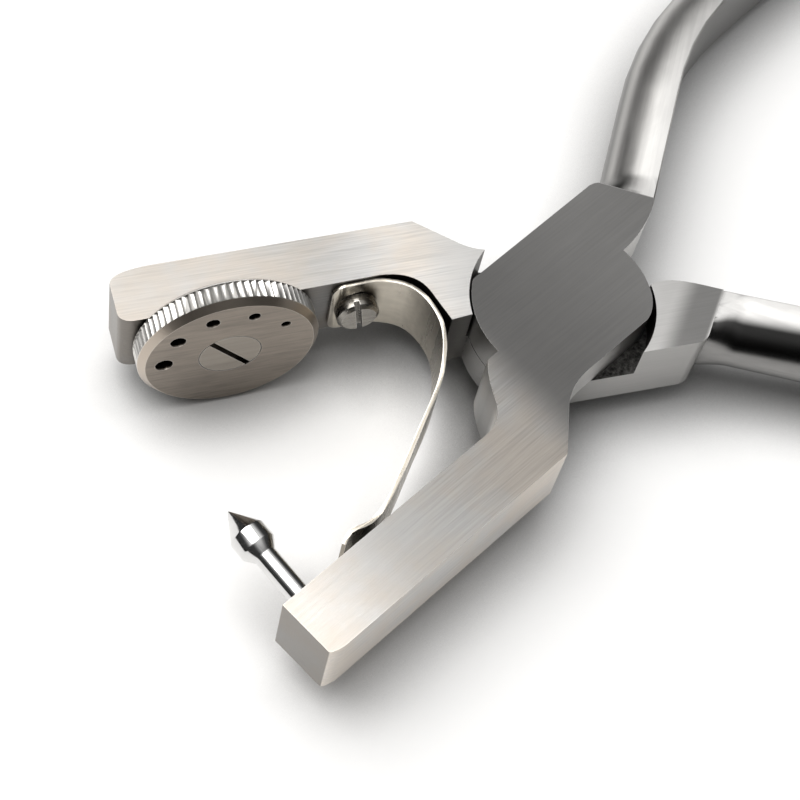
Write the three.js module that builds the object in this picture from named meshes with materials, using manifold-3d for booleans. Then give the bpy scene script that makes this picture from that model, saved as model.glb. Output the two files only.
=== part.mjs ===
// Revolving-wheel hole punch pliers: two lap-jointed steel arms, a wheel of graded die holes on one jaw,
// a cone-pointed punch pin on the other, and a leaf spring that holds the jaws open.
// Millimetres, +Z up. The origin is on the joint's axis at the underside of the joint.
// +X runs along the bisector of the arms, from the jaws towards the handles.
import * as THREE from "three";
import { mergeVertices } from "three/addons/utils/BufferGeometryUtils.js";
import Module from "manifold-3d";

const wasm = await Module();
wasm.setup();

// ---------------------------------------------------------------- driving dimensions
const THICKNESS = 8.3; // of both arms, measured along the joint's axis
const MID = THICKNESS / 2;
const ARM_ANGLE = 14.36; // degrees that each arm leans from the bisector while the spring holds the jaws open
const CLOSING_ANGLE = 24.4; // degrees from open until the pin's point reaches the wheel's face

const BOSS_RADIUS = 9.28; // half-thickness disc of each arm's lap joint
const SHOULDER_RADIUS = 9.52; // pocket that the other arm's disc turns in
const LAP_GAP = 0.12; // between the two discs
const RUNNING_GAP = 0.08; // radial, where one piece turns in another
const PRESS_GAP = 0.01; // radial, where a piece is driven or screwed in

const JAW_LENGTH = 43.6; // from the joint's axis to the end of a jaw
const JAW_OUTER = -12.1; // outer side of both jaws, in the arm's own frame
const PUNCH_JAW_INNER = -5.5; // inner side of the punch jaw
const WHEEL_JAW_INNER_ROOT = -6.5; // inner side of the wheel jaw beside the relief
const WHEEL_JAW_INNER_TIP = -6.0; // and at its end

const HANDLE_DEPTH = 5.6; // of the D-shaped bar, from its flat inner side to its crown
const HANDLE_INNER_EDGE = 0.14; // chamfer along the flat inner side
const HANDLE_ROOT_HEIGHT = 8.28; // along the joint's axis, where the bar leaves the joint
const HANDLE_HEIGHT = 9.4; // and over the rest of its length
const HANDLE_SWELL_LENGTH = 22; // over which it grows from one to the other
const HANDLE_ROOT_CORNER = 0.6; // shape of the root's section: 1 is an ellipse, less is squarer
const HANDLE_ROOT_BLEND = 3.2; // length over which that section becomes an ellipse
const HANDLE_LEAN_LENGTH = 8; // length over which the root's lean runs out
const HANDLE_END_LENGTH = 3.2; // over which the end rounds off

const WHEEL_CENTRE_U = -33.2;
const WHEEL_FACE_V = -2.95;
const WHEEL_FACE_RADIUS = 8.5;
const WHEEL_RIM_RADIUS = 9.16;
const WHEEL_THICKNESS = 3.0;
const WHEEL_CHAMFER = 0.68; // axial length of the smooth bevel in front of the knurl
const KNURL_TEETH = 78;
const KNURL_DEPTH = 0.28;
const DIE_CIRCLE_RADIUS = 6.6;
const DIE_COUNT = 5;
const DIE_PITCH_ANGLE = 36; // degrees between neighbouring stations
const DIE_LARGEST = 1.8; // diameter
const DIE_STEP = 0.2; // by which each next die is smaller
const DIE_DEPTH = 2.0;

const WHEEL_SCREW_HEAD_RADIUS = 3.1;
const WHEEL_SCREW_HEAD_HEIGHT = 1.2;
const WHEEL_SCREW_SHOULDER_RADIUS = 2.1;
const WHEEL_SCREW_THREAD_RADIUS = 1.5;
const WHEEL_SCREW_THREAD_LENGTH = 4.4;
const WHEEL_SEAT_RADIUS = 3.6; // raised seat on the jaw that the wheel turns against
const SLOT_WIDTH = 0.6;
const SLOT_DEPTH = 0.8;
const WHEEL_SLOT_ANGLE = 51; // degrees

const DETENT_RADIUS = 4.9; // of the ball's track round the wheel's axis
const BALL_RADIUS = 1.0;
const BALL_PROUD = 0.45; // of the jaw's face
const DETENT_BORE_DEPTH = 4.6;
const DETENT_STATIONS = 10;
const DETENT_COILS = 5;
const DETENT_WIRE_RADIUS = 0.16;

const LEAF_WIDTH = 7.6; // along the joint's axis
const LEAF_THICKNESS = 0.4;
const LEAF_CORNER_RADIUS = 1.3;
const LEAF_SCREW_U = -19.6;
const LEAF_SCREW_HEAD_RADIUS = 2.2;
const LEAF_SCREW_HEAD_HEIGHT = 1.6;
const LEAF_SCREW_THREAD_RADIUS = 1.1;
const LEAF_SCREW_LENGTH = 4.0; // of thread in the jaw
const LEAF_SLOT_ANGLE = 99; // degrees

const PIN_SHANK_RADIUS = 1.15;
const PIN_HEAD_RADIUS = 1.9;
const PIN_CONE_LENGTH = 2.9;
const PIN_BAND_LENGTH = 1.7; // cylindrical part of the head
const PIN_TAPER_LENGTH = 1.1; // from the head down to the shank
const PIN_SOCKET_DEPTH = 3.5;

const RIVET_RADIUS = 2.6;
const RIVET_HEAD_RADIUS = 3.9;
const RIVET_HEAD_HEIGHT = 1.2;
const RIVET_LENGTH = 7.2; // it ends in a socket just under the plate's top

const ROUND = 40; // segments of a small round piece

const radians = THREE.MathUtils.degToRad;

// ---------------------------------------------------------------- solids and cuts
function solidFrom(geometry) {
  const bare = geometry.index ? geometry.toNonIndexed() : geometry.clone();
  bare.deleteAttribute("normal");
  bare.deleteAttribute("uv");
  const merged = mergeVertices(bare, 1e-4);
  return new wasm.Manifold(
    new wasm.Mesh({
      numProp: 3,
      vertProperties: new Float32Array(merged.attributes.position.array),
      triVerts: new Uint32Array(merged.index.array),
    }),
  );
}

function geometryFrom(solid) {
  const mesh = solid.getMesh();
  const geometry = new THREE.BufferGeometry();
  geometry.setAttribute("position", new THREE.BufferAttribute(new Float32Array(mesh.vertProperties), 3));
  geometry.setIndex(new THREE.BufferAttribute(new Uint32Array(mesh.triVerts), 1));
  geometry.computeVertexNormals();
  return geometry;
}

function cut(solid, tools) {
  return tools.reduce((rest, tool) => rest.subtract(tool), solid);
}

// A plate with the given outline, between two heights.
function plate(shape, bottom, top, curveSegments = 10) {
  const geometry = new THREE.ExtrudeGeometry(shape, { depth: top - bottom, bevelEnabled: false, curveSegments });
  geometry.translate(0, 0, bottom);
  return solidFrom(geometry);
}

// A turned piece. The profile is a closed list of [radius, height] pairs and the axis is local Z.
function turned(profile, segments = ROUND) {
  const points = [...profile, profile[0]].map(([radius, height]) => new THREE.Vector2(radius, height));
  const geometry = new THREE.LatheGeometry(points, segments);
  geometry.rotateX(Math.PI / 2);
  return solidFrom(geometry);
}

function cylinder(radius, bottom, top, segments = ROUND) {
  return turned([[0, bottom], [radius, bottom], [radius, top], [0, top]], segments);
}

// Turns a piece made along local Z so that its axis lies along +V of an arm, based at (u, v) and mid-thickness.
// Its local X then points along +U and its local Y along -Z.
function alongV(solid, u, v) {
  const matrix = new THREE.Matrix4().makeRotationX(-Math.PI / 2);
  matrix.setPosition(u, v, MID);
  return solid.transform(matrix.toArray());
}

function material(color, roughness, metalness = 1) {
  return new THREE.MeshStandardMaterial({ color, roughness, metalness });
}

function mesh(name, solid, finish) {
  const made = new THREE.Mesh(geometryFrom(solid), finish);
  made.name = name;
  return made;
}

// ---------------------------------------------------------------- outline of an arm
// Each arm is drawn in its own frame: +U from jaw to handle, +V from its jaw towards the other jaw.
// The disc of the lap joint, the jaw and the root of the handle share one outline.
const PUNCH_HANDLE_START = [16.75, 2.35]; // where the flat inner side of the handle begins
const WHEEL_HANDLE_START = [16.8, 1.95];

const punchArmPlan = {
  sideStart: [-5.2, 7.68], // upper end of the disc's arc
  sideEnd: [12.5, 7.9],
  notchV: 0.22,
  notchEnd: [-10.77, 0.21],
  relief(shape) {
    shape.quadraticCurveTo(-11.9, -0.7, -12.9, -2.45);
    shape.lineTo(-13.6, -3.65);
    shape.quadraticCurveTo(-14.6, -5.45, -17, PUNCH_JAW_INNER);
  },
  tip(shape) {
    shape.lineTo(-JAW_LENGTH, PUNCH_JAW_INNER);
    shape.lineTo(-JAW_LENGTH, -11.5);
    shape.quadraticCurveTo(-JAW_LENGTH + 0.1, -11.9, -JAW_LENGTH + 1.6, JAW_OUTER);
  },
  handleNotchV: 0.14,
  handleRoot(shape) {
    shape.quadraticCurveTo(13.2, 0.3, ...PUNCH_HANDLE_START);
  },
  rootCorner: [[13.8, 7.2], [13.5, 7.75]],
};

const wheelArmPlan = {
  sideStart: [-5.95, 7.12],
  sideEnd: [12.0, 7.4],
  notchV: -0.3,
  notchEnd: [-11.7, -0.1],
  relief(shape) {
    shape.lineTo(-12.85, -3.7);
    shape.quadraticCurveTo(-13.7, -6.3, -17.4, WHEEL_JAW_INNER_ROOT);
  },
  tip(shape) {
    shape.lineTo(-JAW_LENGTH + 1.6, WHEEL_JAW_INNER_TIP);
    shape.quadraticCurveTo(-JAW_LENGTH, -6.1, -JAW_LENGTH, -7.2);
    shape.lineTo(-JAW_LENGTH, -10.6);
    shape.quadraticCurveTo(-JAW_LENGTH + 0.4, -11.85, -JAW_LENGTH + 4.2, JAW_OUTER + 0.15);
  },
  handleNotchV: -0.05,
  handleRoot(shape) {
    shape.bezierCurveTo(11.5, -0.8, 13.5, 0.3, ...WHEEL_HANDLE_START);
  },
  rootCorner: [[13.4, 6.75], [12.9, 7.3]],
};

const ELBOW_LOWER_SIDE = -7.06; // side of the lap disc that faces the elbow

function armOutline(plan) {
  const shape = new THREE.Shape();
  const startAngle = Math.atan2(plan.sideStart[1], plan.sideStart[0]);
  const notchAngle = Math.PI - Math.asin(plan.notchV / BOSS_RADIUS);
  const handleNotchAngle = Math.asin(plan.handleNotchV / BOSS_RADIUS);
  const cornerAngle = -Math.asin(5.4 / BOSS_RADIUS);
  shape.absarc(0, 0, BOSS_RADIUS, startAngle, notchAngle, false);
  shape.lineTo(-SHOULDER_RADIUS, plan.notchV);
  shape.lineTo(...plan.notchEnd);
  plan.relief(shape);
  plan.tip(shape);
  shape.lineTo(-12.4, JAW_OUTER);
  shape.lineTo(-8.6, -8.8);
  shape.quadraticCurveTo(-6.8, ELBOW_LOWER_SIDE - 0.05, -3.9, ELBOW_LOWER_SIDE);
  shape.lineTo(4.9, ELBOW_LOWER_SIDE);
  shape.quadraticCurveTo(6.3, ELBOW_LOWER_SIDE + 0.2, BOSS_RADIUS * Math.cos(cornerAngle), -5.4);
  shape.absarc(0, 0, BOSS_RADIUS, cornerAngle, handleNotchAngle, false);
  plan.handleRoot(shape);
  shape.lineTo(...plan.rootCorner[0]);
  shape.quadraticCurveTo(...plan.rootCorner[1], ...plan.sideEnd);
  return shape;
}

// ---------------------------------------------------------------- handles
// A path drawn like a walk: a start, a heading and a list of straights and bends.
function walk(start, headingDegrees, legs) {
  let [u, v] = start;
  let heading = radians(headingDegrees);
  let length = 0;
  const parts = legs.map(({ straight, radius, turn }) => {
    const part = { u, v, heading, from: length, curvature: radius ? Math.sign(turn) / radius : 0 };
    const run = straight ?? radius * Math.abs(radians(turn));
    [u, v] = pointOn(part, run);
    heading += part.curvature * run;
    length += run;
    return part;
  });
  return { length, parts };
}

function pointOn(part, run) {
  const { u, v, heading, curvature } = part;
  if (!curvature) return [u + run * Math.cos(heading), v + run * Math.sin(heading)];
  const end = heading + curvature * run;
  return [u + (Math.sin(end) - Math.sin(heading)) / curvature, v - (Math.cos(end) - Math.cos(heading)) / curvature];
}

function placeOn(path, distance) {
  const part = path.parts.findLast((each) => each.from <= distance) ?? path.parts[0];
  const run = distance - part.from;
  const [u, v] = pointOn(part, run);
  return { u, v, heading: part.heading + part.curvature * run };
}

// D-shaped section: X across the thickness, Y from the flat inner side (0) to the crown.
function handleSection() {
  const half = HANDLE_ROOT_HEIGHT / 2;
  const edge = HANDLE_INNER_EDGE;
  const shape = new THREE.Shape();
  shape.moveTo(-half + edge, 0);
  shape.lineTo(half - edge, 0);
  shape.lineTo(half, edge);
  shape.absellipse(0, edge, half, HANDLE_DEPTH - edge, 0, Math.PI, false);
  return shape;
}

// A point of the handle's half-round outline pushed towards the corners of its bounding box.
function squarer(x, y, corner) {
  const half = HANDLE_ROOT_HEIGHT / 2;
  const depth = HANDLE_DEPTH - HANDLE_INNER_EDGE;
  const rise = (y - HANDLE_INNER_EDGE) / depth;
  if (rise <= 0) return { x, y };
  const side = Math.abs(x) / half;
  return {
    x: Math.sign(x) * half * side ** corner,
    y: HANDLE_INNER_EDGE + depth * rise ** corner,
  };
}

// The bar follows the path with its flat side on it, swells from its root, and rounds off at its end.
// lean is the angle by which the root's end face leans back from square.
function handleBar({ path, lean }) {
  const rootSteps = 4;
  const bodySteps = 28;
  const endSteps = 5;
  const roundFrom = path.length - HANDLE_END_LENGTH;
  const stations = [];
  for (let i = 0; i < rootSteps; i++) stations.push({ at: (HANDLE_ROOT_BLEND * i) / rootSteps, scale: 1 });
  for (let i = 0; i <= bodySteps; i++) {
    stations.push({ at: THREE.MathUtils.lerp(HANDLE_ROOT_BLEND, roundFrom, i / bodySteps), scale: 1 });
  }
  for (let i = 1; i <= endSteps; i++) {
    const angle = (radians(80) * i) / endSteps;
    stations.push({ at: roundFrom + HANDLE_END_LENGTH * Math.sin(angle), scale: Math.cos(angle) });
  }
  const steps = stations.length - 1;
  const options = { depth: 1, steps, bevelEnabled: false, curveSegments: 14 };
  const geometry = new THREE.ExtrudeGeometry(handleSection(), options);
  const position = geometry.getAttribute("position");
  for (let i = 0; i < position.count; i++) {
    const { at, scale } = stations[Math.round(position.getZ(i) * steps)];
    const inset = (HANDLE_DEPTH / 2) * (1 - scale);
    const roundness = THREE.MathUtils.smoothstep(at, 0, HANDLE_ROOT_BLEND);
    const corner = THREE.MathUtils.lerp(HANDLE_ROOT_CORNER, 1, roundness);
    const section = squarer(position.getX(i), position.getY(i), corner);
    const outward = inset + section.y * scale;
    const swell = THREE.MathUtils.smoothstep(at, 0, HANDLE_SWELL_LENGTH);
    const height = THREE.MathUtils.lerp(HANDLE_ROOT_HEIGHT, HANDLE_HEIGHT, swell);
    const across = section.x * scale * (height / HANDLE_ROOT_HEIGHT);
    const leanBack = outward * Math.tan(radians(lean)) * Math.max(0, 1 - at / HANDLE_LEAN_LENGTH);
    const { u, v, heading } = placeOn(path, at - leanBack);
    position.setXYZ(i, u - outward * Math.sin(heading), v + outward * Math.cos(heading), MID - across);
  }
  return solidFrom(geometry);
}

// Both paths start a little inside the plate, so that bar and plate join in one body.
function handleFrom([u, v], heading, lean, legs) {
  const lead = 0.4;
  const start = [u - lead * Math.cos(radians(heading)), v - lead * Math.sin(radians(heading)) + 0.03];
  return { path: walk(start, heading, legs), lean };
}

const punchHandle = handleFrom(PUNCH_HANDLE_START, 31.5, 0, [
  { straight: 16 },
  { radius: 32, turn: -25.5 },
  { radius: 140, turn: -22 },
  { straight: 26 },
]);

const wheelHandle = handleFrom(WHEEL_HANDLE_START, 25.5, 10.5, [
  { straight: 17 },
  { radius: 36, turn: -21.5 },
  { radius: 140, turn: -19 },
  { straight: 31 },
]);

// ---------------------------------------------------------------- rivet
// Its countersunk head is ground flush with the underside; its shank is fixed in the upper plate.
function rivetShape(gap) {
  const bottom = -gap;
  const top = RIVET_LENGTH + gap;
  return turned([
    [0, bottom],
    [RIVET_HEAD_RADIUS + gap, bottom],
    [RIVET_RADIUS + gap, RIVET_HEAD_HEIGHT],
    [RIVET_RADIUS + gap, top],
    [0, top],
  ]);
}

// ---------------------------------------------------------------- punch pin
const PIN_ANGLE = 90 - 2 * ARM_ANGLE + CLOSING_ANGLE; // leaves the closed pin square to the wheel's face

// The pin's point, in the punch arm's frame, placed so that it closes on the outermost die hole.
function pinPoint() {
  const outermostDie = new THREE.Vector2(WHEEL_CENTRE_U - DIE_CIRCLE_RADIUS, -WHEEL_FACE_V);
  return outermostDie.rotateAround(new THREE.Vector2(), radians(CLOSING_ANGLE - 2 * ARM_ANGLE));
}

const PIN_LENGTH = (pinPoint().y - PUNCH_JAW_INNER) / Math.sin(radians(PIN_ANGLE)) + PIN_SOCKET_DEPTH;

function alongPin(solid) {
  const point = pinPoint();
  const matrix = new THREE.Matrix4().makeRotationY(Math.PI / 2);
  matrix.premultiply(new THREE.Matrix4().makeRotationZ(radians(PIN_ANGLE)));
  matrix.setPosition(point.x, point.y, MID);
  return solid.transform(matrix.toArray());
}

function punchPin() {
  const bandTop = -PIN_CONE_LENGTH;
  const bandFoot = bandTop - PIN_BAND_LENGTH;
  const shankTop = bandFoot - PIN_TAPER_LENGTH;
  const pin = turned([
    [0, -PIN_LENGTH],
    [PIN_SHANK_RADIUS, -PIN_LENGTH],
    [PIN_SHANK_RADIUS, shankTop],
    [PIN_HEAD_RADIUS, bandFoot],
    [PIN_HEAD_RADIUS, bandTop],
    [0.08, -0.04],
    [0, 0],
  ]);
  return alongPin(pin);
}

// ---------------------------------------------------------------- arms
// The lap disc is the upper half of the thickness; below it is the round pocket for the other arm's disc.
function armBlank(plan, handle) {
  const pocket = cylinder(SHOULDER_RADIUS, -1, MID + LAP_GAP / 2, 96);
  return plate(armOutline(plan), 0, THICKNESS).subtract(pocket).add(handleBar(handle));
}

function punchArm() {
  const socket = cylinder(PIN_SHANK_RADIUS + PRESS_GAP, -PIN_LENGTH - PRESS_GAP, 0);
  return cut(armBlank(punchArmPlan, punchHandle), [alongPin(socket), rivetShape(PRESS_GAP)]);
}

const JAW_SLOPE = (WHEEL_JAW_INNER_TIP - WHEEL_JAW_INNER_ROOT) / (17.4 - JAW_LENGTH);

// Height of the wheel jaw's inner side at a distance along it.
function wheelJawInner(u) {
  return WHEEL_JAW_INNER_ROOT + JAW_SLOPE * (u + 17.4);
}

const WHEEL_BACK_V = WHEEL_FACE_V - WHEEL_THICKNESS;
const DETENT_U = WHEEL_CENTRE_U + DETENT_RADIUS;
const BALL_CENTRE_V = WHEEL_BACK_V + BALL_PROUD - 0.1 - BALL_RADIUS;
const DETENT_BORE_FOOT_V = WHEEL_BACK_V - DETENT_BORE_DEPTH;

function wheelArm() {
  const seatTop = WHEEL_BACK_V - 0.05;
  const seat = alongV(cylinder(WHEEL_SEAT_RADIUS, -1, 0), WHEEL_CENTRE_U, seatTop);
  const threadHole = cylinder(WHEEL_SCREW_THREAD_RADIUS + PRESS_GAP, -WHEEL_SCREW_THREAD_LENGTH - 0.3, 2);
  const shoulderHole = cylinder(WHEEL_SCREW_SHOULDER_RADIUS + PRESS_GAP, -0.4, 2);
  const ballBore = cylinder(BALL_RADIUS + RUNNING_GAP, 0, DETENT_BORE_DEPTH + 2);
  const leafThread = cylinder(LEAF_SCREW_THREAD_RADIUS + PRESS_GAP, -LEAF_SCREW_LENGTH - 0.3, 2);
  const rivetHole = rivetShape(RUNNING_GAP).rotate([180, 0, 0]).translate([0, 0, THICKNESS]);
  return cut(armBlank(wheelArmPlan, wheelHandle).add(seat), [
    alongV(threadHole, WHEEL_CENTRE_U, seatTop),
    alongV(shoulderHole, WHEEL_CENTRE_U, seatTop),
    alongV(ballBore, DETENT_U, DETENT_BORE_FOOT_V),
    alongV(leafThread, LEAF_SCREW_U, wheelJawInner(LEAF_SCREW_U)),
    rivetHole,
  ]);
}

// ---------------------------------------------------------------- wheel of die holes
// Local Z is the wheel's axis with the face at 0; local X points at the joint and local Y up.
function knurlBand() {
  const shape = new THREE.Shape();
  for (let i = 0; i < 2 * KNURL_TEETH; i++) {
    const angle = (Math.PI * i) / KNURL_TEETH;
    const radius = i % 2 ? WHEEL_RIM_RADIUS - KNURL_DEPTH : WHEEL_RIM_RADIUS;
    const x = radius * Math.cos(angle);
    const y = radius * Math.sin(angle);
    if (i) shape.lineTo(x, y);
    else shape.moveTo(x, y);
  }
  return plate(shape, -WHEEL_THICKNESS + 0.44, -WHEEL_CHAMFER + 0.03);
}

function ballTrack() {
  const steps = 12;
  const centre = BALL_CENTRE_V - WHEEL_FACE_V;
  const profile = [];
  for (let i = 0; i < steps; i++) {
    const angle = (2 * Math.PI * i) / steps;
    profile.push([DETENT_RADIUS + 1.1 * Math.cos(angle), centre + 1.1 * Math.sin(angle)]);
  }
  return turned(profile, 60);
}

function holeWheel() {
  const front = turned([
    [0, -WHEEL_CHAMFER],
    [WHEEL_RIM_RADIUS, -WHEEL_CHAMFER],
    [WHEEL_FACE_RADIUS, 0],
    [0, 0],
  ], 96);
  const back = turned([
    [0, -WHEEL_THICKNESS],
    [WHEEL_RIM_RADIUS - 0.5, -WHEEL_THICKNESS],
    [WHEEL_RIM_RADIUS, -WHEEL_THICKNESS + 0.47],
    [0, -WHEEL_THICKNESS + 0.47],
  ], 96);
  const tools = [
    cylinder(WHEEL_SCREW_SHOULDER_RADIUS + RUNNING_GAP, -WHEEL_THICKNESS - 1, 1),
    cylinder(WHEEL_SCREW_HEAD_RADIUS + RUNNING_GAP, -WHEEL_SCREW_HEAD_HEIGHT - 0.06, 1),
    ballTrack(),
  ];
  for (let i = 0; i < DIE_COUNT; i++) {
    const angle = radians(180 - DIE_PITCH_ANGLE * i);
    const die = cylinder((DIE_LARGEST - DIE_STEP * i) / 2, -DIE_DEPTH, 1, 24);
    tools.push(die.translate([DIE_CIRCLE_RADIUS * Math.cos(angle), DIE_CIRCLE_RADIUS * Math.sin(angle), 0]));
  }
  for (let i = 0; i < DETENT_STATIONS; i++) {
    const angle = radians(DIE_PITCH_ANGLE * i);
    const dimple = solidFrom(new THREE.SphereGeometry(1.1, 14, 8));
    const height = BALL_CENTRE_V - WHEEL_FACE_V + 0.15;
    tools.push(dimple.translate([DETENT_RADIUS * Math.cos(angle), DETENT_RADIUS * Math.sin(angle), height]));
  }
  return alongV(cut(front.add(knurlBand()).add(back), tools), WHEEL_CENTRE_U, WHEEL_FACE_V);
}

function slot(length, width, top, depth, angle) {
  const box = solidFrom(new THREE.BoxGeometry(length, width, depth + 1));
  return box.rotate([0, 0, angle]).translate([0, 0, top - depth + (depth + 1) / 2]);
}

function wheelScrew() {
  const shoulderFoot = -WHEEL_THICKNESS - 0.05 - 0.35;
  const screw = turned([
    [0, shoulderFoot - WHEEL_SCREW_THREAD_LENGTH + 0.4],
    [WHEEL_SCREW_THREAD_RADIUS, shoulderFoot - WHEEL_SCREW_THREAD_LENGTH + 0.4],
    [WHEEL_SCREW_THREAD_RADIUS, shoulderFoot],
    [WHEEL_SCREW_SHOULDER_RADIUS, shoulderFoot],
    [WHEEL_SCREW_SHOULDER_RADIUS, -WHEEL_SCREW_HEAD_HEIGHT],
    [WHEEL_SCREW_HEAD_RADIUS, -WHEEL_SCREW_HEAD_HEIGHT],
    [WHEEL_SCREW_HEAD_RADIUS, 0],
    [0, 0],
  ], 48);
  const cutter = slot(3 * WHEEL_SCREW_HEAD_RADIUS, SLOT_WIDTH, 0, SLOT_DEPTH, -WHEEL_SLOT_ANGLE);
  return alongV(screw.subtract(cutter), WHEEL_CENTRE_U, WHEEL_FACE_V);
}

// ---------------------------------------------------------------- detent
function detentBall() {
  return alongV(solidFrom(new THREE.SphereGeometry(BALL_RADIUS, 20, 12)), DETENT_U, BALL_CENTRE_V);
}

class Helix extends THREE.Curve {
  constructor(radius, height, turns) {
    super();
    Object.assign(this, { radius, height, turns });
  }

  getPoint(t) {
    const angle = 2 * Math.PI * this.turns * t;
    return new THREE.Vector3(this.radius * Math.cos(angle), this.radius * Math.sin(angle), this.height * t);
  }
}

function detentSpring() {
  const foot = DETENT_WIRE_RADIUS + 0.08;
  const height = BALL_CENTRE_V - BALL_RADIUS - DETENT_BORE_FOOT_V - 2 * foot;
  const wire = new THREE.Shape().absarc(0, 0, DETENT_WIRE_RADIUS, 0, 2 * Math.PI, false);
  const extrudePath = new Helix(BALL_RADIUS - 0.25, height, DETENT_COILS);
  const coil = new THREE.ExtrudeGeometry(wire, { steps: 12 * DETENT_COILS, curveSegments: 3, extrudePath });
  return alongV(solidFrom(coil).translate([0, 0, foot]), DETENT_U, DETENT_BORE_FOOT_V);
}

// ---------------------------------------------------------------- leaf spring
// Middle of the strip, in the wheel arm's frame: flat under its screw, round the arch, down the long leg
// and over the small hump that rubs on the punch jaw.
const leafLine = new THREE.CatmullRomCurve3(
  [
    [-22.2, -6.13],
    [-20.0, -6.17],
    [-17.4, -6.17],
    [-14.25, -4.65],
    [-12.68, -0.5],
    [-14.15, 5.0],
    [-18.35, 11.1],
    [-23.6, 17.9],
    [-25.5, 19.35],
    [-27.5, 19.85],
    [-28.5, 21.0],
  ].map(([u, v]) => new THREE.Vector3(u, v, 0)),
  false,
  "centripetal",
);

// The strip's flat outline seen along V, with rounded corners at the screwed end.
function leafBlank() {
  const end = -22.2;
  const half = LEAF_WIDTH / 2;
  const corner = LEAF_CORNER_RADIUS;
  const shape = new THREE.Shape();
  shape.moveTo(0, -half);
  shape.lineTo(0, half);
  shape.lineTo(end + corner, half);
  shape.absarc(end + corner, half - corner, corner, Math.PI / 2, Math.PI, false);
  shape.absarc(end + corner, corner - half, corner, Math.PI, 1.5 * Math.PI, false);
  const nearEnd = alongV(plate(shape, -1.5, 1.5, 6), 0, wheelJawInner(end));
  const rest = new THREE.Shape();
  rest.moveTo(-30, -5);
  rest.lineTo(0, -5);
  rest.lineTo(0, 25);
  rest.lineTo(-30, 25);
  return nearEnd.add(plate(rest, -1, THICKNESS + 1));
}

function leafSpring() {
  const steps = 56;
  const near = [];
  const far = [];
  for (let i = 0; i <= steps; i++) {
    const point = leafLine.getPointAt(i / steps);
    const tangent = leafLine.getTangentAt(i / steps);
    const side = new THREE.Vector2(-tangent.y, tangent.x).multiplyScalar(LEAF_THICKNESS / 2);
    near.push(new THREE.Vector2(point.x + side.x, point.y + side.y));
    far.unshift(new THREE.Vector2(point.x - side.x, point.y - side.y));
  }
  const strip = plate(new THREE.Shape([...near, ...far]), MID - LEAF_WIDTH / 2, MID + LEAF_WIDTH / 2);
  const hole = alongV(cylinder(LEAF_SCREW_THREAD_RADIUS + 0.1, -2, 2), LEAF_SCREW_U, wheelJawInner(LEAF_SCREW_U));
  return strip.intersect(leafBlank()).subtract(hole);
}

function leafSpringScrew() {
  const headFoot = LEAF_THICKNESS + 0.14;
  const headTop = headFoot + LEAF_SCREW_HEAD_HEIGHT;
  const screw = turned([
    [0, -LEAF_SCREW_LENGTH],
    [LEAF_SCREW_THREAD_RADIUS, -LEAF_SCREW_LENGTH],
    [LEAF_SCREW_THREAD_RADIUS, headFoot],
    [LEAF_SCREW_HEAD_RADIUS, headFoot],
    [LEAF_SCREW_HEAD_RADIUS, headTop - 0.35],
    [LEAF_SCREW_HEAD_RADIUS - 0.4, headTop],
    [0, headTop],
  ]);
  const cutter = slot(3 * LEAF_SCREW_HEAD_RADIUS, SLOT_WIDTH, headTop, SLOT_DEPTH, LEAF_SLOT_ANGLE);
  return alongV(screw.subtract(cutter), LEAF_SCREW_U, wheelJawInner(LEAF_SCREW_U));
}

// ---------------------------------------------------------------- finishes
const brushedArm = () => material(0xb4b1ab, 0.34);
const brushedWheel = () => material(0xa39d94, 0.36);
const polishedPin = () => material(0xc9c9c8, 0.12);
const screwSteel = () => material(0xb9b4aa, 0.3);
const springSteel = () => material(0xc0b8a8, 0.32);
const hiddenSteel = () => material(0x9a9a98, 0.4);

// ---------------------------------------------------------------- assembly
const punchSide = new THREE.Group();
punchSide.rotation.z = radians(ARM_ANGLE);
punchSide.add(
  mesh("punch_arm", punchArm(), brushedArm()),
  mesh("punch_pin", punchPin(), polishedPin()),
  mesh("pivot_rivet", rivetShape(0), hiddenSteel()),
);

// The wheel arm is the other arm turned over, so its frame is turned half a turn about X.
const wheelSide = new THREE.Group();
wheelSide.rotation.set(Math.PI, 0, radians(ARM_ANGLE));
wheelSide.position.z = THICKNESS;
wheelSide.add(
  mesh("wheel_arm", wheelArm(), brushedArm()),
  mesh("hole_wheel", holeWheel(), brushedWheel()),
  mesh("wheel_screw", wheelScrew(), screwSteel()),
  mesh("detent_ball", detentBall(), hiddenSteel()),
  mesh("detent_spring", detentSpring(), hiddenSteel()),
  mesh("leaf_spring", leafSpring(), springSteel()),
  mesh("leaf_spring_screw", leafSpringScrew(), screwSteel()),
);

const pliers = new THREE.Group();
pliers.add(punchSide, wheelSide);

export default pliers;
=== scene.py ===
"""Looks for the revolving-wheel hole punch pliers: steels, springs and a studio."""

from math import cos, pi, radians, sin

import bpy
from mathutils import Matrix, Vector


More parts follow.
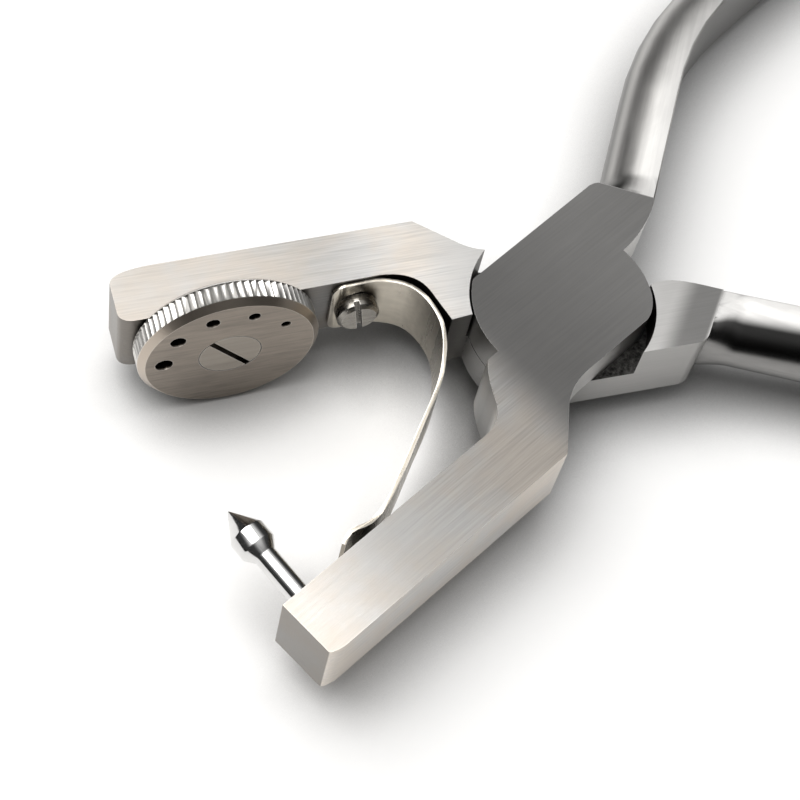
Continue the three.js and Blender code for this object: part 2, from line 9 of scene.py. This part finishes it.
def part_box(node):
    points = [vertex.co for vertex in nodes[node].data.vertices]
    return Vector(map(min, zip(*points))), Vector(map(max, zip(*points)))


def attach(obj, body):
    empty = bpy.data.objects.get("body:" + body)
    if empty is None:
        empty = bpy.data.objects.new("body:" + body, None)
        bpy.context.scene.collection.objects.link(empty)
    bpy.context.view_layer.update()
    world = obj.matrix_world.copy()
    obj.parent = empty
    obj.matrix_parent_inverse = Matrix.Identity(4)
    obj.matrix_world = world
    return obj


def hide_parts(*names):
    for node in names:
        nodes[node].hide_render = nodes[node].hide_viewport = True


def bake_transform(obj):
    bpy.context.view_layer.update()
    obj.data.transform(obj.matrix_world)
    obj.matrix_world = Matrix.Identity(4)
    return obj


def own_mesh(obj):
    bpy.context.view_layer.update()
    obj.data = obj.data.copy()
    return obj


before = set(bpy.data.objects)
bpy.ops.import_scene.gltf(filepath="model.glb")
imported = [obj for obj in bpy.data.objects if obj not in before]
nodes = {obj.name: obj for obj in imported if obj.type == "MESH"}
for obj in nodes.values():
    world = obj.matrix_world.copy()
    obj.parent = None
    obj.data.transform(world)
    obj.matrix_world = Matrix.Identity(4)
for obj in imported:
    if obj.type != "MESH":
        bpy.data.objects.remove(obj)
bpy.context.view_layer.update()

MM = 0.001
ARM_ANGLE = radians(14.36)  # each arm's lean from the row's X axis
MID = 4.15 * MM  # half of the joint's thickness
PUNCH_TURN = ARM_ANGLE
WHEEL_TURN = -ARM_ANGLE


# ---------------------------------------------------------------- shape finish
def refine(name, width, segments=3, dissolve=True, angle=24, crease=None):
    """Rounds a CAD node's edges and shades its curved sides smoothly."""
    obj = nodes[name]
    weld = obj.modifiers.new("weld", "WELD")
    weld.merge_threshold = 2e-6
    if dissolve:
        flat = obj.modifiers.new("flat", "DECIMATE")
        flat.decimate_type = "DISSOLVE"
        flat.angle_limit = radians(0.4)
    bevel = obj.modifiers.new("round", "BEVEL")
    bevel.width = width * MM
    bevel.segments = segments
    bevel.limit_method = "ANGLE"
    bevel.angle_limit = radians(angle)
    bevel.use_clamp_overlap = True
    bevel.harden_normals = True
    if crease:
        split = obj.modifiers.new("crease", "EDGE_SPLIT")
        split.split_angle = radians(crease)
    even = obj.modifiers.new("even", "WEIGHTED_NORMAL")
    even.weight = 100
    for polygon in obj.data.polygons:
        polygon.use_smooth = True
    return obj


refine("punch_arm", 0.2)
refine("wheel_arm", 0.2)
refine("hole_wheel", 0.06, segments=2, angle=60, crease=25)
refine("wheel_screw", 0.07, segments=2)
refine("leaf_spring_screw", 0.1)
refine("punch_pin", 0.12)
refine("pivot_rivet", 0.08, segments=2)


# ---------------------------------------------------------------- material graph helper
class Graph:
    """Builds one node material step by step."""

    def __init__(self, name):
        self.material = bpy.data.materials.new(name)
        self.material.use_nodes = True
        self.tree = self.material.node_tree
        self.shader = self.tree.nodes["Principled BSDF"]
        coordinates = self.add("ShaderNodeTexCoord").outputs
        self.object = coordinates["Object"]
        self.facing = coordinates["Normal"]
        self.normal = self.add("ShaderNodeNewGeometry").outputs["Normal"]

    def add(self, kind, **values):
        node = self.tree.nodes.new(kind)
        for key, value in values.items():
            setattr(node, key, value)
        return node

    def link(self, value, socket):
        if isinstance(value, bpy.types.NodeSocket):
            self.tree.links.new(value, socket)
        else:
            socket.default_value = value

    def math(self, operation, a, b=0.0, clamp=False):
        node = self.add("ShaderNodeMath", operation=operation, use_clamp=clamp)
        self.link(a, node.inputs[0])
        self.link(b, node.inputs[1])
        return node.outputs[0]

    def ramp(self, value, low, high, to_low=0.0, to_high=1.0, smooth=True):
        node = self.add("ShaderNodeMapRange")
        node.interpolation_type = "SMOOTHSTEP" if smooth else "LINEAR"
        self.link(value, node.inputs["Value"])
        for key, number in zip(("From Min", "From Max", "To Min", "To Max"), (low, high, to_low, to_high)):
            self.link(number, node.inputs[key])
        return node.outputs["Result"]

    def mix(self, factor, a, b):
        node = self.add("ShaderNodeMix", data_type="RGBA")
        self.link(factor, node.inputs["Factor"])
        self.link(a, node.inputs[6])
        self.link(b, node.inputs[7])
        return node.outputs[2]

    def blend(self, factor, a, b):
        node = self.add("ShaderNodeMix", data_type="FLOAT")
        self.link(factor, node.inputs["Factor"])
        self.link(a, node.inputs[2])
        self.link(b, node.inputs[3])
        return node.outputs[0]

    def local(self, angle=0.0, origin=(0, 0, 0), scale=(1, 1, 1)):
        """Object coordinates turned into a frame at origin whose X lies at angle, then scaled."""
        move = self.add("ShaderNodeVectorMath", operation="SUBTRACT")
        self.link(self.object, move.inputs[0])
        move.inputs[1].default_value = origin
        turn = self.add("ShaderNodeVectorRotate", rotation_type="Z_AXIS")
        self.link(move.outputs[0], turn.inputs["Vector"])
        turn.inputs["Angle"].default_value = -angle
        stretch = self.add("ShaderNodeVectorMath", operation="MULTIPLY")
        self.link(turn.outputs[0], stretch.inputs[0])
        stretch.inputs[1].default_value = scale
        return stretch.outputs[0]

    def along(self, direction):
        """How far the surface faces in an object-space direction, from -1 to 1."""
        node = self.add("ShaderNodeVectorMath", operation="DOT_PRODUCT")
        self.link(self.facing, node.inputs[0])
        node.inputs[1].default_value = direction
        return node.outputs["Value"]

    def axes(self, vector):
        node = self.add("ShaderNodeSeparateXYZ")
        self.link(vector, node.inputs[0])
        return node.outputs

    def noise(self, vector, scale=1.0, detail=4.0, rough=0.55):
        node = self.add("ShaderNodeTexNoise")
        self.link(vector, node.inputs["Vector"])
        node.inputs["Scale"].default_value = scale
        node.inputs["Detail"].default_value = detail
        node.inputs["Roughness"].default_value = rough
        return node.outputs["Fac"]

    def tinted(self, color, factor):
        """A colour times a number."""
        node = self.add("ShaderNodeVectorMath", operation="SCALE")
        self.link(color if isinstance(color, bpy.types.NodeSocket) else color[:3], node.inputs[0])
        self.link(factor, node.inputs["Scale"])
        return node.outputs[0]

    def edges(self, radius):
        """1 along the object's sharp edges, 0 on its faces."""
        bevel = self.add("ShaderNodeBevel", samples=6)
        bevel.inputs["Radius"].default_value = radius
        dot = self.add("ShaderNodeVectorMath", operation="DOT_PRODUCT")
        self.link(bevel.outputs[0], dot.inputs[0])
        self.link(self.normal, dot.inputs[1])
        return self.ramp(dot.outputs["Value"], 0.995, 0.90)

    def ambient_occlusion(self, distance):
        """Ambient occlusion: 1 on open faces, less in corners and crevices; multiplied into a colour it
        paints shade there.
        """
        node = self.add("ShaderNodeAmbientOcclusion", samples=8)
        node.inputs["Distance"].default_value = distance
        return node.outputs["AO"]

    def bump(self, height, distance, strength=1.0, normal=None):
        node = self.add("ShaderNodeBump")
        node.inputs["Strength"].default_value = strength
        self.link(distance, node.inputs["Distance"])
        self.link(height, node.inputs["Height"])
        if normal:
            self.link(normal, node.inputs["Normal"])
        return node.outputs[0]

    def grain_direction(self, angle):
        """Tangent across the brush lines, which run at angle in the object's XY plane."""
        node = self.add("ShaderNodeVectorTransform", vector_type="VECTOR")
        node.convert_from = "OBJECT"
        node.convert_to = "WORLD"
        node.inputs[0].default_value = (-sin(angle), cos(angle), 0)
        return node.outputs[0]

    def finish(self, color, roughness, normal=None, metallic=1.0, anisotropic=0.0, tangent=None):
        self.link(color, self.shader.inputs["Base Color"])
        self.link(roughness, self.shader.inputs["Roughness"])
        self.link(metallic, self.shader.inputs["Metallic"])
        self.link(anisotropic, self.shader.inputs["Anisotropic"])
        if normal:
            self.link(normal, self.shader.inputs["Normal"])
        if tangent:
            self.link(tangent, self.shader.inputs["Tangent"])
        return self.material


def brushed(g, angle, fine=(160, 6200, 6200), broad=(60, 1500, 1500)):
    """Fine and broad brush lines along angle, and cloudy unevenness, each about 0.5 on average."""
    lines = g.ramp(g.noise(g.local(angle, scale=fine), 1.0, 3.0, 0.6), 0.32, 0.68, smooth=False)
    streaks = g.ramp(g.noise(g.local(angle, scale=broad), 1.0, 3.0, 0.5), 0.3, 0.7, smooth=False)
    clouds = g.ramp(g.noise(g.object, 110.0, 4.0, 0.6), 0.3, 0.7, smooth=False)
    return lines, streaks, clouds


def weighted(g, terms, base=1.0):
    """base plus the sum of weight times (value minus a half)."""
    total = base
    for value, weight in terms:
        total = g.math("ADD", total, g.math("MULTIPLY", g.math("SUBTRACT", value, 0.5), weight))
    return total


# ---------------------------------------------------------------- the two arms
# In an arm's own frame X runs from jaw to handle. mirror is -1 for the arm whose Y is turned over.
# Tones are base colour levels set zone by zone under one lamp, so they hold painted light: the plate and
# jaw tones carry painted reflection, which is why the two arms' plates differ; the handle's top, band and
# under tones are a painted highlight, a painted dark reflection band and a painted reflection of the
# floor; side, jaw_side and the end face carry painted shade and reflection; dish is painted shade that
# darkens the facet beside the handle.
PUNCH_ARM = {
    "name": "punch_arm_steel",
    "angle": PUNCH_TURN,
    "mirror": 1,
    "handle_start": (16.75, 2.35),
    "handle_heading": radians(31.5),
    "plate": (0.15, 0.27),
    "jaw": {"root": 0.36, "middle": 0.34, "tip": 0.52},
    "handle": {"top": 0.8, "band": 0.52, "under": 0.2},
    "handle_rough": 0.36,
    "side": 0.62,
    "jaw_side": 0.66,
    "dish": 1.0,
}
WHEEL_ARM = {
    "name": "wheel_arm_steel",
    "angle": WHEEL_TURN,
    "mirror": -1,
    "handle_start": (16.8, 2.0),
    "handle_heading": radians(36.4),
    "plate": (0.66, 0.66),
    "jaw": {"root": 0.72, "middle": 0.47, "tip": 0.42},
    "handle": {"top": 0.85, "band": 0.035, "under": 0.24},
    "handle_rough": 0.24,
    "side": 0.38,
    "jaw_side": 0.2,
    "dish": 0.42,
}
JAW_TIP_X = -43.6 * MM
JAW_ROOT_X = -13.0 * MM
JOINT_X = (-13.5 * MM, -8.0 * MM)  # where jaw finish turns into plate finish, and the jaw's painted-reflection tones into the plate's
PLATE_END_X = 14.0 * MM
# Painted shade on the jaw's end face.
END_FACE_TONE = 0.24
ROOT_BAND_TONE = 0.1  # of the handle's painted dark reflection band where it starts
WORN_TONE = 0.7
NEUTRAL = (1.0, 0.985, 0.96, 1)
WARM = (1.0, 0.92, 0.83, 1)


def arm_zones(g, arm):
    """Masks and distances that place each finish, and each painted highlight, reflection and shade, on an
    arm.
    """
    angle = arm["angle"]
    own = g.axes(g.local(angle))
    heading = angle + arm["mirror"] * arm["handle_heading"]
    x, y = arm["handle_start"]
    start = Matrix.Rotation(angle, 3, "Z") @ Vector((x, arm["mirror"] * y, 0)) * MM
    along = g.axes(g.local(heading, tuple(start)))[0]
    up = g.axes(g.normal)[2]
    from_middle = g.math("ABSOLUTE", g.math("SUBTRACT", own[2], MID))
    level = g.ramp(g.math("ABSOLUTE", up), 0.8, 0.95)
    return {
        "u": own[0],
        "up": up,
        "heading": heading,
        "along_handle": along,
        "handle": g.ramp(along, -0.1 * MM, 0.1 * MM),
        "joint": g.ramp(own[0], *JOINT_X),
        "flat": g.ramp(up, 0.9, 0.98),
        "end_face": g.ramp(g.along((-cos(angle), -sin(angle), 0)), 0.7, 0.9),
        "lap": g.math("MULTIPLY", g.ramp(from_middle, 0.3 * MM, 0.2 * MM), level),
    }


def arm_tone(g, arm, zones):
    """How bright each zone is before wear, lines and painted corner shade; the zone tones themselves hold
    painted highlight, reflection and shade.
    """
    u, along = zones["u"], zones["along_handle"]
    jaw, handle = arm["jaw"], arm["handle"]
    # Jaw and plate tones carry painted reflection: the jaw grades from tip to root, the plate along the
    # arm.
    tone = g.ramp(u, JAW_TIP_X, -30 * MM, jaw["tip"], jaw["middle"])
    tone = g.blend(g.ramp(u, -24 * MM, JAW_ROOT_X), tone, jaw["root"])
    tone = g.blend(zones["joint"], tone, g.ramp(u, JOINT_X[1], PLATE_END_X, *arm["plate"]))
    # Faces other than flat tops take side tones: painted shade and reflection set by which way the face
    # turns.
    side = g.blend(zones["joint"], arm["jaw_side"], arm["side"])
    side = g.blend(zones["end_face"], side, END_FACE_TONE)
    tone = g.blend(zones["flat"], side, tone)
    # The handle's tones follow which way its surface faces: a painted highlight on top, a painted dark
    # reflection band below it with its own tone at the root, and a painted reflection of the floor
    # underneath.
    band = g.blend(g.ramp(along, 0.0, 3.5 * MM), ROOT_BAND_TONE, handle["band"])
    band = g.blend(g.ramp(zones["up"], 0.34, 0.62), handle["under"], band)
    bar = g.blend(g.ramp(zones["up"], 0.88, 0.975), band, handle["top"])
    tone = g.blend(zones["handle"], tone, bar)
    # Painted shade on the facet beside the handle, scaled by the arm's dish factor.
    painted_dish_shade = g.math("MULTIPLY", g.ramp(along, -4.6 * MM, -2.2 * MM), g.ramp(along, 0.1 * MM, -0.3 * MM))
    painted_dish_shade = g.math("MULTIPLY", painted_dish_shade, zones["flat"])
    return g.math("MULTIPLY", tone, g.blend(painted_dish_shade, 1.0, arm["dish"]))


def arm_steel(arm):
    """Brushed jaw, plate and root, satin handle and rough lap of one arm, with painted highlight,
    reflection and shade in its tones.
    """
    g = Graph(arm["name"])
    zones = arm_zones(g, arm)
    joint, handle, lap = zones["joint"], zones["handle"], zones["lap"]
    lines, streaks, clouds = brushed(g, arm["angle"])
    handle_lines = brushed(g, zones["heading"], fine=(60, 2600, 2600))[0]
    lines = g.blend(g.math("MULTIPLY", joint, 0.6), lines, 0.5)
    lines = g.blend(handle, lines, g.ramp(handle_lines, 0.0, 1.0, 0.36, 0.64))

    wear = g.edges(0.16 * MM)
    tone = arm_tone(g, arm, zones)
    tone = g.math("MULTIPLY", tone, weighted(g, [(lines, 0.26), (streaks, 0.03), (clouds, 0.08)]))
    tone = g.blend(g.math("MULTIPLY", wear, 0.12), tone, WORN_TONE)
    # Painted shade: darker in corners and crevices, by ambient occlusion.
    tone = g.math("MULTIPLY", tone, g.ramp(g.ambient_occlusion(1.6 * MM), 0.15, 0.9, 0.35, 1.0))
    warmth = g.math("MULTIPLY", g.ramp(clouds, 0.1, 0.8), g.math("SUBTRACT", 1.0, joint))
    color = g.tinted(g.mix(warmth, NEUTRAL, WARM), tone)
    grit = g.noise(g.object, 2600.0, 6.0, 0.7)
    gritty = g.tinted((0.9, 0.88, 0.84, 1), g.ramp(grit, 0.3, 0.75, 0.02, 0.22))
    color = g.mix(lap, color, gritty)

    rough = weighted(g, [(lines, 0.16), (clouds, 0.06)], 0.38)
    satin = weighted(g, [(lines, 0.04), (clouds, 0.06)], arm["handle_rough"])
    rough = g.blend(handle, rough, satin)
    rough = g.blend(g.math("MULTIPLY", wear, 0.6), rough, 0.2)
    rough = g.blend(lap, rough, 0.6)

    normal = g.bump(lines, g.blend(handle, 0.003 * MM, 0.0004 * MM), 0.6)
    normal = g.bump(g.noise(g.object, 160.0, 2.0), 0.012 * MM, 0.4, normal)
    normal = g.bump(g.math("MULTIPLY", grit, lap), 0.25 * MM, 1.0, normal)
    aniso = g.blend(handle, 0.55, 0.0)
    return g.finish(color, rough, normal, anisotropic=aniso, tangent=g.grain_direction(arm["angle"]))


def steel(name, angle, base, rough, line_weight=0.2, bump=0.004, aniso=0.4, fine=(45, 2600, 2600)):
    """Plain brushed steel for a small piece, with painted shade in its recesses."""
    g = Graph(name)
    lines, streaks, clouds = brushed(g, angle, fine=fine)
    wear = g.edges(0.12 * MM)
    hollow_shade = g.ambient_occlusion(1.0 * MM)
    tone = weighted(g, [(lines, line_weight), (streaks, 0.12), (clouds, 0.16)])
    # Painted shade: darker in recesses and corners, by ambient occlusion.
    tone = g.math("MULTIPLY", tone, g.ramp(hollow_shade, 0.1, 0.9, 0.35, 1.0))
    color = g.mix(g.math("MULTIPLY", wear, 0.5), g.tinted(base, tone), (0.85, 0.83, 0.8, 1))
    roughness = weighted(g, [(lines, 0.12), (clouds, 0.1)], rough)
    normal = g.bump(lines, bump * MM, 0.6)
    return g.finish(color, roughness, normal, anisotropic=aniso, tangent=g.grain_direction(angle))


WHEEL_FACE_RADIUS = 8.4 * MM
WHEEL_RIM_RADIUS = 8.75 * MM
WHEEL_SHOULDER_DEPTH = 0.86 * MM  # from the wheel's middle plane to the foot of its bevel
# Depths from the wheel's middle plane within which the die holes' walls get painted shade.
DIE_WALL_DEPTH = (1.44 * MM, 1.3 * MM)
WHEEL_FACE_COLOR = (1.0, 0.87, 0.74, 1)
WHEEL_RIM_COLOR = (1.0, 0.98, 0.94, 1)


def wheel_steel():
    """Brushed warm face, a darker smooth bevel and a bright knurl, with painted shade in its crevices and
    within its die holes.
    """
    g = Graph("wheel_steel")
    low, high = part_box("hole_wheel")
    centre = (Vector(low) + Vector(high)) / 2
    axis = WHEEL_TURN - pi / 2  # direction that the face looks in
    depth, across, rise = tuple(g.axes(g.local(axis, tuple(centre))))
    square = g.math("ADD", g.math("MULTIPLY", across, across), g.math("MULTIPLY", rise, rise))
    radius = g.math("SQRT", square)
    lines, streaks, clouds = brushed(g, WHEEL_TURN, fine=(300, 4200, 4200), broad=(140, 1500, 1500))
    outside = g.ramp(radius, WHEEL_FACE_RADIUS, WHEEL_FACE_RADIUS + 0.15 * MM)
    rim = g.ramp(radius, WHEEL_RIM_RADIUS, WHEEL_RIM_RADIUS + 0.1 * MM)
    front = g.ramp(depth, WHEEL_SHOULDER_DEPTH - 0.14 * MM, WHEEL_SHOULDER_DEPTH)
    back = g.ramp(depth, WHEEL_SHOULDER_DEPTH, WHEEL_SHOULDER_DEPTH - 0.06 * MM)
    bevel = g.math("MULTIPLY", outside, front)
    knurl = g.math("MULTIPLY", rim, back)
    tone = weighted(g, [(lines, 0.08), (streaks, 0.03), (clouds, 0.06)], 0.245)
    tone = g.blend(bevel, tone, 0.5)
    tone = g.blend(knurl, tone, weighted(g, [(clouds, 0.3)], 0.75))
    # Painted shade: darker in the knurl's grooves and other crevices, by ambient occlusion.
    tone = g.math("MULTIPLY", tone, g.ramp(g.ambient_occlusion(0.4 * MM), 0.3, 0.95, 0.2, 1.0))
    # Painted shade: the die holes' walls are made nearly black.
    shaded_die_wall = g.math("MULTIPLY", g.ramp(depth, *DIE_WALL_DEPTH), g.ramp(radius, 8.3 * MM, 8.1 * MM))
    tone = g.math("MULTIPLY", tone, g.blend(shaded_die_wall, 1.0, 0.06))
    color = g.mix(knurl, g.tinted(WHEEL_FACE_COLOR, tone), g.tinted(WHEEL_RIM_COLOR, tone))
    wear = g.math("MULTIPLY", g.edges(0.1 * MM), g.math("SUBTRACT", 1.0, shaded_die_wall))
    color = g.mix(g.math("MULTIPLY", wear, 0.5), color, (0.9, 0.88, 0.84, 1))
    rough = weighted(g, [(lines, 0.12), (clouds, 0.1)], 0.38)
    rough = g.blend(bevel, rough, 0.32)
    rough = g.blend(knurl, rough, 0.34)
    normal = g.bump(g.math("MULTIPLY", lines, g.math("SUBTRACT", 1.0, knurl)), 0.005 * MM, 0.7)
    return g.finish(color, rough, normal, anisotropic=0.4, tangent=g.grain_direction(axis + pi))


PIN_ANGLE = radians(100.04)  # direction that the pin points in


def polished_steel():
    """Mirror-polished pin with the faint rings that turning leaves."""
    g = Graph("polished_steel")
    low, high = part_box("punch_pin")
    centre = (Vector(low) + Vector(high)) / 2
    rings = g.noise(g.local(PIN_ANGLE, tuple(centre), (5200, 30, 30)), 1.0, 3.0)
    clouds = g.noise(g.object, 420.0, 4.0)
    tone = weighted(g, [(rings, 0.1), (clouds, 0.12)], 0.74)
    rough = weighted(g, [(rings, 0.06), (clouds, 0.08)], 0.11)
    normal = g.bump(rings, 0.002 * MM, 0.5)
    return g.finish(g.tinted((1.0, 0.995, 0.985, 1), tone), rough, normal)


def paint(obj, material):
    obj.data.materials.clear()
    obj.data.materials.append(material)


paint(nodes["punch_arm"], arm_steel(PUNCH_ARM))
paint(nodes["wheel_arm"], arm_steel(WHEEL_ARM))
paint(nodes["hole_wheel"], wheel_steel())
paint(nodes["wheel_screw"], steel("wheel_screw_steel", WHEEL_TURN, (0.3, 0.27, 0.235, 1), 0.36))
paint(nodes["leaf_spring_screw"], steel("leaf_screw_steel", WHEEL_TURN, (0.3, 0.285, 0.26, 1), 0.28))
paint(nodes["punch_pin"], polished_steel())
hidden = steel("hidden_steel", 0.0, (0.5, 0.5, 0.5, 1), 0.35)
paint(nodes["pivot_rivet"], hidden)
paint(nodes["detent_ball"], hidden)
paint(nodes["detent_spring"], hidden)


def bending_leaf():
    """A copy of the leaf spring with rounded edges."""
    source = refine("leaf_spring", 0.1, segments=2, dissolve=False, angle=40)
    graph = bpy.context.evaluated_depsgraph_get()
    mesh = bpy.data.meshes.new_from_object(source.evaluated_get(graph))
    mesh.name = "leaf_strip"
    leaf = bpy.data.objects.new("leaf_strip", mesh)
    leaf.matrix_world = source.matrix_world.copy()
    bpy.context.scene.collection.objects.link(leaf)
    dull = steel(
        "spring_steel", WHEEL_TURN, (0.54, 0.5, 0.43, 1), 0.3, 0.14, 0.003, 0.2, fine=(600, 600, 60)
    )
    paint(leaf, dull)
    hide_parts("leaf_spring")
    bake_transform(leaf)
    return leaf


bending_leaf()


# ---------------------------------------------------------------- click spring
def click_spring():
    """A copy of the coil spring, carried by the wheel arm's body."""
    source = nodes["detent_spring"]
    spring = bpy.data.objects.new("click_coil", source.data.copy())
    spring.matrix_world = source.matrix_world.copy()
    bpy.context.scene.collection.objects.link(spring)
    inward = Vector((cos(WHEEL_TURN + pi / 2), sin(WHEEL_TURN + pi / 2), 0))
    points = [source.matrix_world @ vertex.co for vertex in source.data.vertices]
    points.sort(key=inward.dot)
    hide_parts("detent_spring")
    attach(spring, "wheel_arm")
    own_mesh(spring)


click_spring()

# ---------------------------------------------------------------- floor
# The pliers rest on the wheel's rim and on both handles, so the joint's axis leans a little.
wheel_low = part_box("hole_wheel")[0]
handle_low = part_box("punch_arm")[0][2]
handle_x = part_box("punch_arm")[1][0] - 6 * MM
rim_x = (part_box("hole_wheel")[0][0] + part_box("hole_wheel")[1][0]) / 2
slope = (handle_low - wheel_low[2]) / (handle_x - rim_x)


def floor_material():
    g = Graph("pale_floor")
    smudge = g.noise(g.object, 26.0, 6.0, 0.62)
    specks = g.noise(g.object, 900.0, 2.0, 0.5)
    tone = weighted(g, [(smudge, 0.05), (specks, 0.012)], 0.9)
    # Painted shadow: the floor darkens near the pliers by ambient occlusion, standing in for contact
    # shadows.
    tone = g.math("MULTIPLY", tone, g.ramp(g.ambient_occlusion(10 * MM), 0.22, 0.84, 0.12, 1.0, smooth=False))
    normal = g.bump(g.noise(g.object, 1400.0, 5.0), 0.05 * MM, 0.25)
    g.shader.inputs["Specular IOR Level"].default_value = 0.3
    return g.finish(g.tinted((1.0, 0.998, 0.994, 1), tone), 0.55, normal, metallic=0.0)


FLOOR_HALF = 1.2
corners = [(FLOOR_HALF * x, FLOOR_HALF * y, 0) for x, y in ((-1, -1), (1, -1), (1, 1), (-1, 1))]
floor_mesh = bpy.data.meshes.new("floor")
floor_mesh.from_pydata(corners, [], [(0, 1, 2, 3)])
floor = bpy.data.objects.new("floor", floor_mesh)
bpy.context.scene.collection.objects.link(floor)
floor.location = (rim_x, 0, wheel_low[2] - 0.02 * MM)
floor.rotation_euler = (0, -slope, 0)
paint(floor, floor_material())


# ---------------------------------------------------------------- light
def area_light(name, target, direction, distance, size, power, color=(1, 1, 1)):
    light = bpy.data.lights.new(name, "AREA")
    light.shape = "RECTANGLE"
    light.size, light.size_y = size
    light.energy = power
    light.color = color
    obj = bpy.data.objects.new(name, light)
    bpy.context.scene.collection.objects.link(obj)
    offset = Vector(direction).normalized() * distance
    obj.location = Vector(target) + offset
    obj.rotation_euler = (-offset).to_track_quat("-Z", "Y").to_euler()
    return obj


LIGHT_TARGET = (-15 * MM, 0, 4 * MM)
KEY_DIRECTION = (-0.25, 0.36, 1.0)
area_light("key", LIGHT_TARGET, KEY_DIRECTION, 0.60, (0.55, 0.55), 3.6, (1.0, 0.99, 0.975))

# Brightness of the studio by height of the direction: dark at the horizon, bright overhead.
STUDIO_STOPS = [(0.0, 0.03), (0.52, 0.05), (0.66, 0.25), (0.82, 0.92), (1.0, 1.0)]
BACKDROP = (0.86, 0.86, 0.855, 1)


def studio_world():
    """Lights and reflections follow the stops; the camera itself sees a plain pale backdrop."""
    world = bpy.data.worlds.new("studio")
    bpy.context.scene.world = world
    world.use_nodes = True
    tree = world.node_tree
    add, link = tree.nodes.new, tree.links.new
    background = tree.nodes["Background"]
    coordinates = add("ShaderNodeTexCoord")
    split = add("ShaderNodeSeparateXYZ")
    ramp = add("ShaderNodeValToRGB")
    while len(ramp.color_ramp.elements) < len(STUDIO_STOPS):
        ramp.color_ramp.elements.new(0.5)
    for element, (at, level) in zip(ramp.color_ramp.elements, STUDIO_STOPS):
        element.position = at
        element.color = (level, level, level, 1)
    backdrop = add("ShaderNodeBackground")
    backdrop.inputs[0].default_value = BACKDROP
    path = add("ShaderNodeLightPath")
    seen = add("ShaderNodeMixShader")
    link(coordinates.outputs["Generated"], split.inputs[0])
    link(split.outputs[2], ramp.inputs[0])
    link(ramp.outputs[0], background.inputs[0])
    link(path.outputs["Is Camera Ray"], seen.inputs[0])
    link(background.outputs[0], seen.inputs[1])
    link(backdrop.outputs[0], seen.inputs[2])
    link(seen.outputs[0], tree.nodes["World Output"].inputs[0])


studio_world()

# ---------------------------------------------------------------- camera
CAMERA_LENS = 90.39
CAMERA_PLACE = (-87.901 * MM, -73.127 * MM, 174.09 * MM)
CAMERA_LOOK = (0.34996, 0.36678, -0.86198)
CAMERA_UP = (0.38277, 0.78385, 0.48894)


def place_camera():
    data = bpy.data.cameras.new("camera")
    data.lens = CAMERA_LENS
    data.sensor_width = 36
    data.clip_start = 0.01
    camera = bpy.data.objects.new("camera", data)
    bpy.context.scene.collection.objects.link(camera)
    look = Vector(CAMERA_LOOK).normalized()
    right = look.cross(Vector(CAMERA_UP).normalized()).normalized()
    above = right.cross(look)
    turn = Matrix((right, above, -look)).transposed()
    camera.matrix_world = Matrix.Translation(Vector(CAMERA_PLACE)) @ turn.to_4x4()
    bpy.context.scene.camera = camera


place_camera()
bpy.context.scene.view_settings.view_transform = "Standard"
